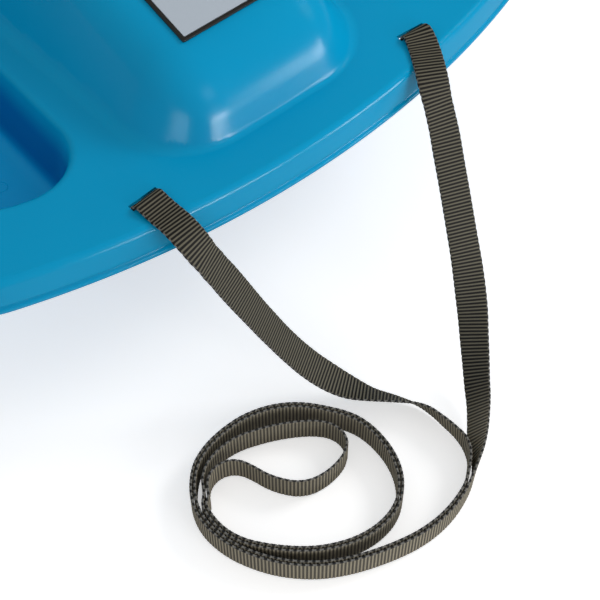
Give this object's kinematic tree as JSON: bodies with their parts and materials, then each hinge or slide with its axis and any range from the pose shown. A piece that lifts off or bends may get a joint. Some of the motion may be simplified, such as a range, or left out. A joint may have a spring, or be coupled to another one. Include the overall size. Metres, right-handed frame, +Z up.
{
  "type": "plastic sled",
  "caption": "Moulded plastic sled with foot wells, a raised console, steel runners, hand brakes at the sides and a webbing pull strap lying in a coil.",
  "frame": {"origin": "on the ground under the middle of the hull, with the runners standing on z = 0; the pull strap is left out of this", "axes": "+Z up, the bow and its pull strap point along -Y, the rider's right side is -X"},
  "size_m": [0.54, 1.2303, 0.2497],
  "materials": {
    "blue_plastic": "smooth and glossy",
    "black_frame": "satin",
    "pale_card": "satin",
    "khaki_webbing": "ribbed weave",
    "galvanised_steel": "galvanised",
    "zinc_fasteners": "bright zinc",
    "black_plastic": "fine grain",
    "grip_rubber": "matte"
  },
  "bodies": {
    "hull": {"hull_shell": "blue_plastic", "label_frame": "black_frame", "label_card": "pale_card", "pull_strap_right": "khaki_webbing", "strap_loop_right": "khaki_webbing", "strap_bar_right": "zinc_fasteners", "runner_rail_right": "galvanised_steel", "rail_screw_right_1": "zinc_fasteners", "cap_nut_right_1": "zinc_fasteners", "rail_screw_right_2": "zinc_fasteners", "cap_nut_right_2": "zinc_fasteners", "rail_screw_right_3": "zinc_fasteners", "cap_nut_right_3": "zinc_fasteners", "pivot_stud_right": "zinc_fasteners", "inner_washer_right": "zinc_fasteners", "outer_washer_right": "zinc_fasteners", "lock_nut_right": "zinc_fasteners", "pull_strap_left": "khaki_webbing", "strap_loop_left": "khaki_webbing", "strap_bar_left": "zinc_fasteners", "runner_rail_left": "galvanised_steel", "rail_screw_left_1": "zinc_fasteners", "cap_nut_left_1": "zinc_fasteners", "rail_screw_left_2": "zinc_fasteners", "cap_nut_left_2": "zinc_fasteners", "rail_screw_left_3": "zinc_fasteners", "cap_nut_left_3": "zinc_fasteners", "pivot_stud_left": "zinc_fasteners", "inner_washer_left": "zinc_fasteners", "outer_washer_left": "zinc_fasteners", "lock_nut_left": "zinc_fasteners"},
    "brake_right": {"brake_lever_right": "black_plastic", "brake_grip_right": "grip_rubber", "brake_claw_right": "galvanised_steel", "claw_rivet_right_1": "zinc_fasteners", "claw_rivet_right_2": "zinc_fasteners"},
    "brake_left": {"brake_lever_left": "black_plastic", "brake_grip_left": "grip_rubber", "brake_claw_left": "galvanised_steel", "claw_rivet_left_1": "zinc_fasteners", "claw_rivet_left_2": "zinc_fasteners"}
  },
  "joints": [
    {"name": "brake_hinge_right", "type": "hinge", "parent": "hull", "child": "brake_right", "pos_m": [-0.2376, 0.03, 0.09], "axis": [-1, 0, 0], "range_deg": [0, 38]},
    {"name": "brake_hinge_left", "type": "hinge", "parent": "hull", "child": "brake_left", "pos_m": [0.2376, 0.03, 0.09], "axis": [-1, 0, 0], "range_deg": [0, 38]}
  ]
}
